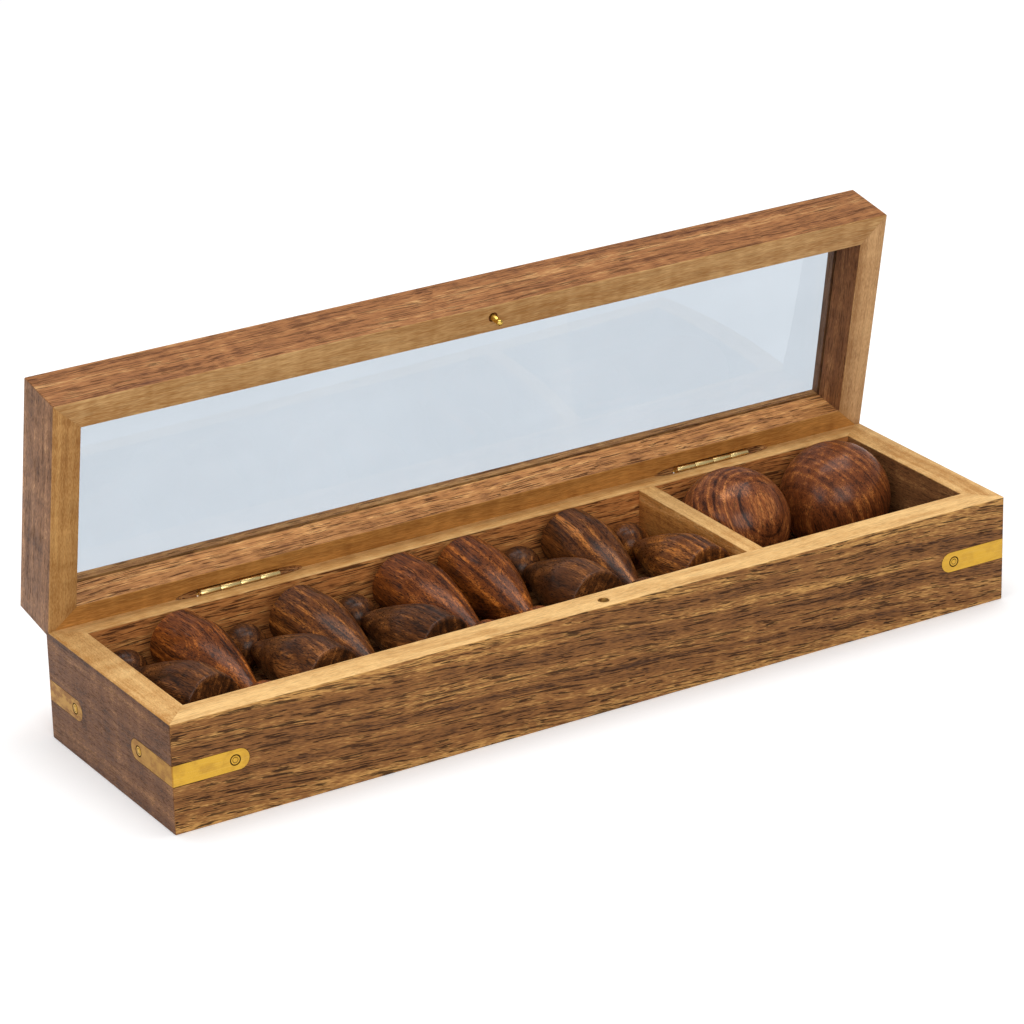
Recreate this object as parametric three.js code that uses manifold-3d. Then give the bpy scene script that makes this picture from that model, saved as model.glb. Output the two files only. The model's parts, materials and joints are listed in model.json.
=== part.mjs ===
// A table-top skittles set: a mitred wooden case with a glazed, hinged lid, brass corner straps and
// butt hinges, ten turned pins on a raised floor and two wooden balls in their own compartment.
// Millimetres. X runs along the case, -Y is the front, +Z is up. The origin is the middle of the
// underside. The lid stands open, leaning on the bevels behind the hinge line.
import * as THREE from "three";
import { mergeVertices } from "three/addons/utils/BufferGeometryUtils.js";
import Module from "manifold-3d";

const wasm = await Module();
wasm.setup();

// ---- driving dimensions ---------------------------------------------------------------------
const CASE = { length: 325, width: 87, height: 38.5 };
const WALL = { front: 10.8, back: 9.4, side: 10.5 };
const BOTTOM = { thick: 6.8, rebate: 5, gap: 0.1 };
const DIVIDER = { left: 62.3, right: 68.8 };
const PIN_FLOOR = { top: 17.6, thick: 3.5, bearer: 8, gap: 0.15 };
const LID = { height: 21, front: 9.9, back: 9.3, side: 10.1, openDeg: 79.5 };
const GLASS = { above: 13.1, thick: 2.5, tongue: 2.8, groove: 3.1, play: 0.15 };
const BEVEL = { inset: 2, gap: 0.06 };
const HINGE = {
  centres: [-91.9, 97.9], length: 30.1, knuckles: 4, radius: 1.5, pinRadius: 0.7,
  play: 0.06, leafDrop: 10.5, leafThick: 0.9, leafInset: 0.1, knuckleGap: 0.15,
};
const MORTISE = { radius: 1.95, play: 0.15, runOut: 8.8 };
const SCREW = { headRadius: 1.5, shankRadius: 0.8, length: 6.5, spread: 9.5, drop: 6.4, slot: 0.4 };
const STRAP = { width: 7.3, thick: 1, pocketPlay: 0.12 };
const RIVET = { headRadius: 1.42, holeRadius: 1.62, shankRadius: 0.7, length: 6, fromTip: 5.1 };
const CATCH = {
  x: 0.65, y: -39.1, pegRadius: 1.15, pegOut: 5.2, pegIn: 5, socketRadius: 1.9,
  socketBore: 1.45, socketDepth: 7,
};
const BALL = { radius: 19.7, wallGap: 0.4 };
const PIN = {
  length: 58.4, baseRadius: 10.4, bellyRadius: 11.4, bellyAt: 15.5, midRadius: 8,
  neckRadius: 2.9, headRadius: 7.4,
};
// The pins lie in one row on the raised floor, evenly spaced, most of them head to foot. A pin that
// points the same way as its neighbour lies a little further from it. The first pins of the row lean
// together. Most lie loose in mid tray, and the ones numbered in home rest their heads on a wall.
const PIN_ROW = {
  heads: ["back", "front", "back", "front", "back", "front", "front", "back", "front", "back"],
  first: -140, pitch: 21, besideTwin: 1.4, loose: 1, lean: -7, leaning: 6, home: [1, 4, 8],
  wallGap: 0.5,
};

// ---- materials --------------------------------------------------------------------------------
const material = (color, roughness, metalness = 0, opacity = 1) =>
  new THREE.MeshStandardMaterial({
    color: new THREE.Color(...color), roughness, metalness, opacity, transparent: opacity < 1,
  });
const LOOKS = {
  caseWood: () => material([0.3, 0.17, 0.09], 0.6),
  paleWood: () => material([0.52, 0.32, 0.15], 0.6),
  turnedWood: () => material([0.2, 0.08, 0.04], 0.4),
  brass: () => material([0.78, 0.58, 0.22], 0.35, 1),
  glass: () => material([0.8, 0.87, 0.86], 0.05, 0, 0.35),
};

// ---- solid helpers ----------------------------------------------------------------------------
const HALF = { x: CASE.length / 2, y: CASE.width / 2 };
const RIM = CASE.height;
const HINGE_Y = HALF.y - BEVEL.inset;
const BACK = HALF.y;
const rad = THREE.MathUtils.degToRad;

// Shapes are bare geometries: positions and an index. manifold-3d only joins and cuts them.
function bare(geometry) {
  const g = new THREE.BufferGeometry().setAttribute("position", geometry.getAttribute("position"));
  if (geometry.index) g.setIndex(geometry.index);
  return mergeVertices(g, 1e-4);
}

function solid(geometry) {
  return new wasm.Manifold(new wasm.Mesh({
    numProp: 3,
    vertProperties: new Float32Array(geometry.attributes.position.array),
    triVerts: new Uint32Array(geometry.index.array),
  }));
}

function geometryOf(manifold) {
  const mesh = manifold.getMesh();
  const points = new Float32Array(mesh.numVert * 3);
  for (let i = 0; i < mesh.numVert; i++) {
    points.set(mesh.vertProperties.subarray(i * mesh.numProp, i * mesh.numProp + 3), i * 3);
  }
  return new THREE.BufferGeometry()
    .setAttribute("position", new THREE.BufferAttribute(points, 3))
    .setIndex(new THREE.BufferAttribute(new Uint32Array(mesh.triVerts), 1));
}

const joined = (...parts) => geometryOf(parts.map(solid).reduce((a, b) => a.add(b)));
const cut = (body, tools) => geometryOf(tools.map(solid).reduce((b, t) => b.subtract(t), solid(body)));

// A copy of a shape, turned by degrees about X, then Y, then Z, and moved.
function placed(geometry, turn, at = [0, 0, 0]) {
  const angles = new THREE.Euler(...turn.map(rad), "ZYX");
  return geometry.clone().applyMatrix4(
    new THREE.Matrix4().makeRotationFromEuler(angles).setPosition(...at));
}
const moved = (geometry, x, y, z) => geometry.clone().translate(x, y, z);

// A copy mirrored in X, in Y or in both, with its faces kept facing out.
function mirrored(geometry, sx, sy) {
  const g = geometry.clone().scale(sx, sy, 1);
  if (sx * sy < 0) {
    const index = g.index.array;
    for (let i = 0; i < index.length; i += 3) {
      [index[i + 1], index[i + 2]] = [index[i + 2], index[i + 1]];
    }
  }
  return g;
}

// A box between two opposite corners.
function block(low, high) {
  const size = high.map((h, i) => h - low[i]);
  const middle = high.map((h, i) => (h + low[i]) / 2);
  return bare(new THREE.BoxGeometry(...size)).translate(...middle);
}

// A prism standing on a plan outline, from z0 to z1.
function prism(outline, z0, z1) {
  const shape = new THREE.Shape(outline.map(([x, y]) => new THREE.Vector2(x, y)));
  const g = new THREE.ExtrudeGeometry(shape, { depth: z1 - z0, bevelEnabled: false });
  return bare(g).translate(0, 0, z0);
}

// A body of revolution about +Z from [radius, z] points that start and end on the axis.
function turned(profile, segments) {
  const g = new THREE.LatheGeometry(profile.map(([r, z]) => new THREE.Vector2(r, z)), segments);
  return bare(g.rotateX(Math.PI / 2));
}

const rod = (radius, z0, z1, segments) =>
  turned([[0, z0], [radius, z0], [radius, z1], [0, z1]], segments);
const alongX = (body) => placed(body, [0, 90, 0]);

const root = new THREE.Group();
function add(name, body, look, parent = root) {
  body.computeVertexNormals();
  const mesh = new THREE.Mesh(body, LOOKS[look]());
  mesh.name = name;
  parent.add(mesh);
  return mesh;
}

// ---- mitred frames ----------------------------------------------------------------------------
// The four plan outlines of a mitred frame: each side runs between the outer and inner corners.
function mitred(front, back, side) {
  const [ox, oy] = [HALF.x, HALF.y];
  const [ix, iy0, iy1] = [HALF.x - side, -HALF.y + front, HALF.y - back];
  return {
    front: [[-ox, -oy], [ox, -oy], [ix, iy0], [-ix, iy0]],
    back: [[-ix, iy1], [ix, iy1], [ox, oy], [-ox, oy]],
    left: [[-ox, -oy], [-ix, iy0], [-ix, iy1], [-ox, oy]],
    right: [[ox, -oy], [ox, oy], [ix, iy1], [ix, iy0]],
  };
}
const INNER = {
  x0: -HALF.x + WALL.side, x1: HALF.x - WALL.side,
  y0: -HALF.y + WALL.front, y1: HALF.y - WALL.back,
};

// ---- corner straps ----------------------------------------------------------------------------
// One leg is a flat tongue with a half-round end, drawn in a face's own plane.
function tongue(length, width, thick, play) {
  const w = width / 2 + play;
  const reach = length - width / 2;
  const outline = [[0, -w], [reach, -w]];
  for (let i = 1; i < 8; i++) {
    const a = -Math.PI / 2 + (Math.PI * i) / 8;
    outline.push([reach + w * Math.cos(a), w * Math.sin(a)]);
  }
  outline.push([reach, w], [0, w]);
  return prism(outline, 0, thick);
}

// Places a tongue on the front or back face (along X) or on an end face (along Y) of a corner.
function legs(strap, play, deeper) {
  const { sx, sy, z, frontLeg, sideLeg } = strap;
  const thick = STRAP.thick + deeper;
  const face = placed(
    tongue(frontLeg, STRAP.width, thick, play), [90, 0, 0], [-HALF.x, thick - HALF.y, z]);
  const end = placed(tongue(sideLeg, STRAP.width, thick, play), [90, 0, 90], [-HALF.x, -HALF.y, z]);
  return mirrored(joined(face, end), -sx, -sy);
}

const STRAPS = [
  { name: "front_left", sx: -1, sy: -1, z: 20.3, frontLeg: 27.5, sideLeg: 28.1 },
  { name: "front_right", sx: 1, sy: -1, z: 19.3, frontLeg: 26.4, sideLeg: 27.2 },
  { name: "back_left", sx: -1, sy: 1, z: 17.6, frontLeg: 26, sideLeg: 23.8 },
  { name: "back_right", sx: 1, sy: 1, z: 18.4, frontLeg: 26.6, sideLeg: 25 },
];

// Where the two rivets of a strap sit, each with the way it points into the wood.
function rivetSpots(strap) {
  const { sx, sy, z, frontLeg, sideLeg } = strap;
  return [
    { at: [sx * (HALF.x - frontLeg + RIVET.fromTip), sy * HALF.y, z], turn: [sy < 0 ? -90 : 90, 0, 0] },
    { at: [sx * HALF.x, sy * (HALF.y - sideLeg + RIVET.fromTip), z], turn: [0, sx < 0 ? 90 : -90, 0] },
  ];
}
const rivetHead = (r) => [[0, 0], [r, 0], [RIVET.shankRadius + 0.05, STRAP.thick]];
const rivet = turned(
  [[0, 0.05], [RIVET.headRadius - 0.1, 0.05], [RIVET.headRadius, 0.12],
    [RIVET.shankRadius, STRAP.thick - 0.02], [RIVET.shankRadius, RIVET.length - 1.2],
    [0, RIVET.length]], 14);
const rivetBore = turned(
  [[0, -0.2], [RIVET.holeRadius, -0.2], [RIVET.holeRadius, 0], [RIVET.shankRadius + 0.08, STRAP.thick],
    [RIVET.shankRadius + 0.08, RIVET.length + 0.2], [0, RIVET.length + 0.2]], 14);
const place = (body, spot) => placed(body, spot.turn, spot.at);

// ---- hinges -----------------------------------------------------------------------------------
// A circle swept along the hinge axis that dies away at both ends, as a round cutter leaves it.
function mortise(centre) {
  const half = HINGE.length / 2 + MORTISE.play;
  const r = MORTISE.radius;
  const fall = [[0, 1], [0.35, 0.94], [0.65, 0.76], [0.88, 0.47], [1, 0.14]];
  const left = fall.map(([t, k]) => [r * k, -half - t * MORTISE.runOut]).reverse();
  const right = fall.map(([t, k]) => [r * k, half + t * MORTISE.runOut]);
  const profile = [[0, left[0][1]], ...left, ...right, [0, right[right.length - 1][1]]];
  return moved(alongX(turned(profile, 20)), centre, HINGE_Y, RIM);
}

const leafOuter = BACK - HINGE.leafInset;
const leafInner = leafOuter - HINGE.leafThick;
const span = (centre, play) => [
  centre - HINGE.length / 2 - play, centre + HINGE.length / 2 + play,
];

// The recess for one leaf on the back face; side is -1 for the case and +1 for the lid.
function leafRecess(centre, side) {
  const [x0, x1] = span(centre, MORTISE.play);
  const z = [RIM, RIM + side * (HINGE.leafDrop + 0.1)].sort((a, b) => a - b);
  return block([x0, leafInner, z[0]], [x1, BACK + 1, z[1]]);
}

const screwSpots = (centre, side) =>
  [-1, 1].map((k) => [centre + k * SCREW.spread, leafOuter, RIM + side * SCREW.drop]);
const screwBody = () => {
  const { headRadius: h, shankRadius: s, length } = SCREW;
  const head = turned(
    [[0, 0.05], [h - 0.12, 0.05], [s, HINGE.leafThick - 0.02], [s, length - 1.5], [0, length]], 14);
  const slot = block([-2, -SCREW.slot / 2, -1], [2, SCREW.slot / 2, 0.4]);
  return placed(cut(head, [slot]), [90, 0, 0]);
};
const screwBore = () => {
  const { headRadius: h, shankRadius: s, length } = SCREW;
  return placed(turned(
    [[0, -0.3], [h, -0.3], [h, 0], [s + 0.08, HINGE.leafThick], [s + 0.08, length + 0.2],
      [0, length + 0.2]], 14), [90, 0, 0]);
};

// One leaf with every other knuckle, starting at the first (0) or the second (1).
function leaf(centre, side, first) {
  const [x0, x1] = span(centre, 0);
  const z0 = RIM + side * (HINGE.radius + 0.25);
  const z1 = RIM + side * HINGE.leafDrop;
  const z = [z0, z1].sort((a, b) => a - b);
  let body = block([x0, leafInner, z[0]], [x1, leafOuter, z[1]]);
  const pitch = HINGE.length / HINGE.knuckles;
  for (let i = first; i < HINGE.knuckles; i += 2) {
    const a = x0 + i * pitch + HINGE.knuckleGap / 2;
    const b = x0 + (i + 1) * pitch - HINGE.knuckleGap / 2;
    const ring = moved(alongX(rod(HINGE.radius, a, b, 20)), 0, HINGE_Y, RIM);
    const zw = [RIM, z0 + side * 0.3].sort((p, q) => p - q);
    const web = block([a, leafInner + 0.05, zw[0]], [b, HINGE_Y + HINGE.radius, zw[1]]);
    body = joined(body, ring, web);
  }
  const bore = alongX(rod(HINGE.pinRadius + HINGE.play, x0 - 1, x1 + 1, 20));
  const holes = screwSpots(centre, side).map((p) => moved(screwBore(), ...p));
  return cut(body, [moved(bore, 0, HINGE_Y, RIM), ...holes]);
}

// The bevel that both back edges carry, so the open lid comes to rest on the case.
function bevel(side) {
  const tilt = (LID.openDeg / 2) * side;
  const wedge = block([-HALF.x - 1, 0, side < 0 ? -BEVEL.gap : -8], [HALF.x + 1, 8, side < 0 ? 8 : BEVEL.gap]);
  return placed(wedge, [tilt, 0, 0], [0, HINGE_Y, RIM]);
}

// ---- the case ---------------------------------------------------------------------------------
const bottomLow = [INNER.x0 - BOTTOM.rebate, INNER.y0 - BOTTOM.rebate];
const bottomHigh = [INNER.x1 + BOTTOM.rebate, INNER.y1 + BOTTOM.rebate];
const rebate = block(
  [bottomLow[0] - BOTTOM.gap, bottomLow[1] - BOTTOM.gap, -1],
  [bottomHigh[0] + BOTTOM.gap, bottomHigh[1] + BOTTOM.gap, BOTTOM.thick]);
const atCatch = (body) => moved(body, CATCH.x, CATCH.y, 0);
const socketBore = atCatch(rod(CATCH.socketRadius + 0.05, RIM - CATCH.socketDepth, RIM + 1, 18));
const mortises = HINGE.centres.map(mortise);
const caseRecesses = HINGE.centres.map((c) => leafRecess(c, -1));
const caseScrewBores = HINGE.centres.flatMap((c) =>
  screwSpots(c, -1).map((p) => moved(screwBore(), ...p)));
const pockets = STRAPS.map((s) => legs(s, STRAP.pocketPlay, 0.03));
const rivetBores = STRAPS.flatMap((s) => rivetSpots(s).map((p) => place(rivetBore, p)));

const walls = mitred(WALL.front, WALL.back, WALL.side);
const wallTools = {
  front: [socketBore],
  back: [bevel(-1), ...mortises, ...caseRecesses, ...caseScrewBores],
  left: [bevel(-1)],
  right: [bevel(-1)],
};
for (const [side, outline] of Object.entries(walls)) {
  const wall = prism(outline, 0, RIM);
  add(`case_${side}_wall`, cut(wall, [rebate, ...pockets, ...rivetBores, ...wallTools[side]]), "caseWood");
}
add("case_bottom_panel",
  block([...bottomLow, 0], [...bottomHigh, BOTTOM.thick]), "paleWood");
add("compartment_divider",
  block([DIVIDER.left, INNER.y0, BOTTOM.thick], [DIVIDER.right, INNER.y1, RIM]), "paleWood");

const bearerTop = PIN_FLOOR.top - PIN_FLOOR.thick;
const bay = {
  x0: INNER.x0 + PIN_FLOOR.gap, x1: DIVIDER.left - PIN_FLOOR.gap,
  y0: INNER.y0 + PIN_FLOOR.gap, y1: INNER.y1 - PIN_FLOOR.gap,
};
add("pin_floor_board", block([bay.x0, bay.y0, bearerTop], [bay.x1, bay.y1, PIN_FLOOR.top]), "paleWood");
add("pin_floor_bearer_front",
  block([bay.x0, bay.y0, BOTTOM.thick], [bay.x1, bay.y0 + PIN_FLOOR.bearer, bearerTop]), "paleWood");
add("pin_floor_bearer_back",
  block([bay.x0, bay.y1 - PIN_FLOOR.bearer, BOTTOM.thick], [bay.x1, bay.y1, bearerTop]), "paleWood");

for (const strap of STRAPS) {
  const bores = rivetSpots(strap).map((p) => place(rivetBore, p));
  add(`strap_${strap.name}`, cut(legs(strap, 0, 0), bores), "brass");
  rivetSpots(strap).forEach((spot, i) =>
    add(`rivet_${strap.name}_${i ? "end" : "face"}`, place(rivet, spot), "brass"));
}
add("catch_socket", atCatch(cut(
  rod(CATCH.socketRadius, RIM - CATCH.socketDepth, RIM - 0.02, 18),
  [rod(CATCH.socketBore, RIM - CATCH.socketDepth - 1, RIM + 1, 18)])), "brass");

// ---- the lid, built shut and then opened about the hinge axis ----------------------------------
const lid = new THREE.Group();
lid.position.set(0, HINGE_Y, RIM);
lid.rotation.x = -rad(LID.openDeg);
root.add(lid);
const lidPart = (name, body, look) => add(name, moved(body, 0, -HINGE_Y, -RIM), look, lid);

const lidTop = RIM + LID.height;
const rails = mitred(LID.front, LID.back, LID.side);
const glassLow = RIM + GLASS.above;
const window = {
  x: HALF.x - LID.side, y0: -HALF.y + LID.front, y1: HALF.y - LID.back,
};
const groove = block(
  [-window.x - GLASS.groove, window.y0 - GLASS.groove, glassLow - GLASS.play],
  [window.x + GLASS.groove, window.y1 + GLASS.groove, glassLow + GLASS.thick + GLASS.play]);
const pegBore = atCatch(turned(
  [[0, RIM - 1], [CATCH.pegRadius + 0.5, RIM - 1], [CATCH.pegRadius + 0.5, RIM + 0.9],
    [CATCH.pegRadius + 0.05, RIM + 1.1], [CATCH.pegRadius + 0.05, RIM + CATCH.pegIn],
    [0, RIM + CATCH.pegIn]], 18));
const lidScrewBores = HINGE.centres.flatMap((c) =>
  screwSpots(c, 1).map((p) => moved(screwBore(), ...p)));
const railTools = {
  front: [pegBore],
  back: [bevel(1), ...mortises, ...HINGE.centres.map((c) => leafRecess(c, 1)), ...lidScrewBores],
  left: [bevel(1)],
  right: [bevel(1)],
};
for (const [side, outline] of Object.entries(rails)) {
  lidPart(`lid_${side}_rail`, cut(prism(outline, RIM, lidTop), [groove, ...railTools[side]]), "caseWood");
}
lidPart("lid_glass", block(
  [-window.x - GLASS.tongue, window.y0 - GLASS.tongue, glassLow],
  [window.x + GLASS.tongue, window.y1 + GLASS.tongue, glassLow + GLASS.thick]), "glass");

const pegTip = RIM - CATCH.pegOut;
const dome = [[0, pegTip]];
for (let i = 1; i <= 6; i++) {
  const a = (Math.PI / 2) * (i / 6);
  dome.push([CATCH.pegRadius * Math.sin(a), pegTip + 0.9 * (1 - Math.cos(a))]);
}
lidPart("catch_peg", atCatch(turned(
  [...dome, [CATCH.pegRadius, RIM + CATCH.pegIn - 0.1], [0, RIM + CATCH.pegIn - 0.1]], 18)), "brass");

// ---- hinges: the case leaf stays, the lid leaf turns, the pin is fixed in the case leaf --------
HINGE.centres.forEach((centre, i) => {
  const hand = i ? "right" : "left";
  add(`hinge_${hand}_case_leaf`, leaf(centre, -1, 0), "brass");
  lidPart(`hinge_${hand}_lid_leaf`, leaf(centre, 1, 1), "brass");
  const [x0, x1] = span(centre, -0.05);
  add(`hinge_${hand}_pin`,
    moved(alongX(rod(HINGE.pinRadius, x0, x1, 20)), 0, HINGE_Y, RIM), "brass");
  ["outer", "inner"].forEach((spot, k) => {
    const index = i ? 1 - k : k;
    add(`screw_${hand}_case_${spot}`, moved(screwBody(), ...screwSpots(centre, -1)[index]), "brass");
    lidPart(`screw_${hand}_lid_${spot}`, moved(screwBody(), ...screwSpots(centre, 1)[index]), "brass");
  });
});

// ---- the pins and the balls --------------------------------------------------------------------
// The pin's outline from the middle of its base to the crown of its head.
function pinProfile() {
  const { length, baseRadius, bellyRadius, bellyAt, midRadius, neckRadius, headRadius } = PIN;
  const neckAt = length - headRadius - Math.sqrt(headRadius ** 2 - neckRadius ** 2);
  const knots = [
    [baseRadius, 0.6], [0.35 * baseRadius + 0.65 * bellyRadius, 0.45 * bellyAt],
    [bellyRadius, bellyAt], [midRadius, (bellyAt + neckAt) / 2], [neckRadius, neckAt],
  ];
  const curve = new THREE.SplineCurve(knots.map(([r, z]) => new THREE.Vector2(r, z)));
  const body = curve.getPoints(10).map((p) => [p.x, p.y]);
  const start = Math.asin(neckRadius / headRadius);
  const head = [];
  for (let i = 1; i < 6; i++) {
    const a = start + ((Math.PI - start) * i) / 6;
    head.push([headRadius * Math.sin(a), length - headRadius - headRadius * Math.cos(a)]);
  }
  return [[0, 0], [baseRadius - 0.6, 0], ...body, ...head, [0, length]];
}
const pinBody = turned(pinProfile(), 20);
// A pin lies on its belly and its head, so its axis falls towards the head.
const fall = Math.asin(
  (PIN.bellyRadius - PIN.headRadius) / (PIN.length - PIN.headRadius - PIN.bellyAt));
let x = PIN_ROW.first;
PIN_ROW.heads.forEach((head, i) => {
  if (i) x += PIN_ROW.pitch + (head === PIN_ROW.heads[i - 1] ? PIN_ROW.besideTwin : 0);
  const lean = i < PIN_ROW.leaning ? rad(PIN_ROW.lean) : 0;
  const reach = PIN.headRadius
    + (PIN.length / 2 - PIN.headRadius) * Math.cos(lean) * Math.cos(fall) + PIN_ROW.wallGap;
  const toBack = head === "back";
  const home = toBack ? INNER.y1 - reach : INNER.y0 + reach;
  const y = PIN_ROW.home.includes(i + 1) ? home : PIN_ROW.loose;
  const turn = new THREE.Matrix4()
    .makeRotationZ(-lean - (toBack ? 0 : Math.PI))
    .multiply(new THREE.Matrix4().makeRotationX(-fall - Math.PI / 2));
  const lying = moved(pinBody, 0, 0, -PIN.length / 2).applyMatrix4(turn);
  lying.computeBoundingBox();
  const lift = PIN_FLOOR.top + 0.02 - lying.boundingBox.min.z;
  add(`pin_${String(i + 1).padStart(2, "0")}`, moved(lying, x, y, lift), "turnedWood");
});

// Each ball rests in a back corner of its bay: one by the divider, one by the right wall.
const ballOff = BALL.radius + BALL.wallGap;
[DIVIDER.right + ballOff, INNER.x1 - ballOff].forEach((ballX, i) => {
  const profile = [[0, -BALL.radius]];
  for (let k = 1; k < 14; k++) {
    const a = (Math.PI * k) / 14;
    profile.push([BALL.radius * Math.sin(a), -BALL.radius * Math.cos(a)]);
  }
  profile.push([0, BALL.radius]);
  add(`ball_${i + 1}`,
    moved(turned(profile, 24), ballX, INNER.y1 - ballOff, BOTTOM.thick + BALL.radius + 0.02), "turnedWood");
});

export default root;
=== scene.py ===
"""Table-top skittles in a glazed wooden case: the looks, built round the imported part.

Metres, in the part's own frame: X along the case, -Y the front, +Z up. Shapes are written in
millimetres and scaled as they are made. The lid is shaped shut and then turned open.
"""

import json
import math
import random

import bmesh
import bpy
import numpy as np
from mathutils import Matrix, Vector


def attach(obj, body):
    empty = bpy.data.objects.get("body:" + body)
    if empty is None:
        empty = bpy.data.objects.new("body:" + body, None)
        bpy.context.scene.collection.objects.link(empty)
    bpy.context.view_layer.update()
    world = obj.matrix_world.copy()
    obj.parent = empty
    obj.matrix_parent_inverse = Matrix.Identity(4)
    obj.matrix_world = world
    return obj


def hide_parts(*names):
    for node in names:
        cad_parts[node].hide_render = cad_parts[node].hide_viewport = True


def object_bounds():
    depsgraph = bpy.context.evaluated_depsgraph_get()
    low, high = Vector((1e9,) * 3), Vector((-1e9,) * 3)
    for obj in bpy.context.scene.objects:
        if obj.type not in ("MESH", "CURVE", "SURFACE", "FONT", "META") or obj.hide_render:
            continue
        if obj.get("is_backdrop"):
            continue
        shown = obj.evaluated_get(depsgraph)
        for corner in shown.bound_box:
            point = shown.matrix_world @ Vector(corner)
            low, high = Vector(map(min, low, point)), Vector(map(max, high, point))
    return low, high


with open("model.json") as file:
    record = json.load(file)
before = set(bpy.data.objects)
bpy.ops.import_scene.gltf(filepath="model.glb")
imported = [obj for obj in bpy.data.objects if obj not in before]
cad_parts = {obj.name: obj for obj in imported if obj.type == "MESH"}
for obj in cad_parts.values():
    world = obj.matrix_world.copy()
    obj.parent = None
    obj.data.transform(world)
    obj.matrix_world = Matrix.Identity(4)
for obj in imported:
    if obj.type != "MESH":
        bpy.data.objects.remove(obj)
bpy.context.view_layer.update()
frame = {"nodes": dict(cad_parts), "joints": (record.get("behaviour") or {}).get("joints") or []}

MM = 0.001
HINGE = next(j for j in frame["joints"] if j["name"] == "lid_hinge")
HINGE_Y, HINGE_Z = HINGE["pos_m"][1] / MM, HINGE["pos_m"][2] / MM
LID_OPEN_DEG = 79.5  # how far the lid stands open in the frame

# ---- sizes that only the fine surface has, in millimetres ------------------------------------
ROUND = 0.45  # how far the long edges of the wood are eased
EDGE_STEPS = 4  # the flats that an eased edge is made of
CORNER = 0.5  # the upright corners of the case and the lid, and the fold of the straps
MITRE_GAP = 0.03  # half of the hairline where two mitred sides meet
PLAY = 0.12  # round inlaid brass
BEVEL_GAP = 0.06  # between the meeting bevels behind the hinge line
STRAP = {"half": 3.65, "thick": 1.0, "edge": 0.07}
RIVET = {"radius": 1.68, "hole": 1.9, "shank": 0.7, "length": 6, "from_tip": 5.1}
KNUCKLE = {"radius": 1.5, "bore": 0.76, "count": 4, "gap": 0.15, "edge": 0.14}
LEAF = {"outer": 0.1, "thick": 0.9, "clear": 0.25}
MORTISE = {"radius": 1.95, "play": 0.15, "run_out": 8.8}
SCREW = {"head": 1.5, "shank": 0.8, "length": 6.5, "spread": 9.5, "drop": 6.4, "slot": 0.22}
GROOVE = {"deep": 3.1, "play": 0.15}
REBATE = {"deep": 5.1, "play": 0.02}
PIN = {"base": 10.4, "belly": 11.4, "belly_at": 15.5, "mid": 8, "neck": 2.9, "head": 7.4}


# ---- reading the frame --------------------------------------------------------------------------
def points_of(node):
    """The distinct corners of a CAD node, in millimetres."""
    co = np.array([v.co for v in frame["nodes"][node].data.vertices]) / MM
    return np.unique(np.round(co, 4), axis=0)


SHUT = (
    Matrix.Translation((0, HINGE_Y, HINGE_Z))
    @ Matrix.Rotation(math.radians(LID_OPEN_DEG), 4, "X")
    @ Matrix.Translation((0, -HINGE_Y, -HINGE_Z))
)
OPEN = (
    Matrix.Translation((0, HINGE_Y * MM, HINGE_Z * MM))
    @ Matrix.Rotation(-math.radians(LID_OPEN_DEG), 4, "X")
    @ Matrix.Translation((0, -HINGE_Y * MM, -HINGE_Z * MM))
)


def box_of(node, shut=False):
    """The box of a CAD node in millimetres; a lid node can be read as if the lid were shut."""
    co = points_of(node)
    if shut:
        turn = np.array(SHUT)
        co = co @ turn[:3, :3].T + turn[:3, 3]
    return Vector(co.min(0)), Vector(co.max(0))


case_box = [box_of(f"case_{side}_wall") for side in ("front", "back", "left", "right")]
OUTER = {
    "x": case_box[3][1].x, "y": case_box[0][0].y * -1, "rim": case_box[0][1].z,
}
WALLS = {
    "front": case_box[0][1].y + OUTER["y"], "back": OUTER["y"] - case_box[1][0].y,
    "left": case_box[2][1].x + OUTER["x"], "right": OUTER["x"] - case_box[3][0].x,
}
lid_box = [box_of(f"lid_{side}_rail", True) for side in ("front", "back", "left", "right")]
RAILS = {
    "front": lid_box[0][1].y + OUTER["y"], "back": OUTER["y"] - lid_box[1][0].y,
    "left": lid_box[2][1].x + OUTER["x"], "right": OUTER["x"] - lid_box[3][0].x,
}
LID_TOP = lid_box[0][1].z
GLASS_LOW, GLASS_HIGH = box_of("lid_glass", True)
PANEL_HIGH = box_of("case_bottom_panel")[1]


# ---- mesh building ------------------------------------------------------------------------------
def object_from(name, verts, faces, smooth=30):
    """A closed mesh object from points in millimetres, welded and facing out."""
    mesh = bpy.data.meshes.new(name)
    mesh.from_pydata([tuple(c * MM for c in v) for v in verts], [], faces)
    return finished(name, mesh, smooth)


def finished(name, mesh, smooth=30):
    bm = bmesh.new()
    bm.from_mesh(mesh)
    bmesh.ops.remove_doubles(bm, verts=bm.verts, dist=2e-7)
    bmesh.ops.dissolve_degenerate(bm, edges=bm.edges, dist=1e-7)
    bmesh.ops.recalc_face_normals(bm, faces=bm.faces)
    bm.to_mesh(mesh)
    bm.free()
    obj = bpy.data.objects.new(name, mesh)
    bpy.context.scene.collection.objects.link(obj)
    return shaded(obj, smooth)


def shaded(obj, smooth=30):
    obj.data.shade_smooth()
    obj.data.set_sharp_from_angle(angle=math.radians(smooth))
    return obj


def lofted(name, loops):
    """A body through closed loops of equal length, with a cap at each end."""
    count = len(loops[0])
    verts = [v for loop in loops for v in loop]
    faces = [list(range(count)), list(range(count * (len(loops) - 1), count * len(loops)))]
    for row in range(len(loops) - 1):
        for i in range(count):
            j = (i + 1) % count
            a, b = row * count, (row + 1) * count
            faces.append([a + i, a + j, b + j, b + i])
    return object_from(name, verts, faces)


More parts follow.
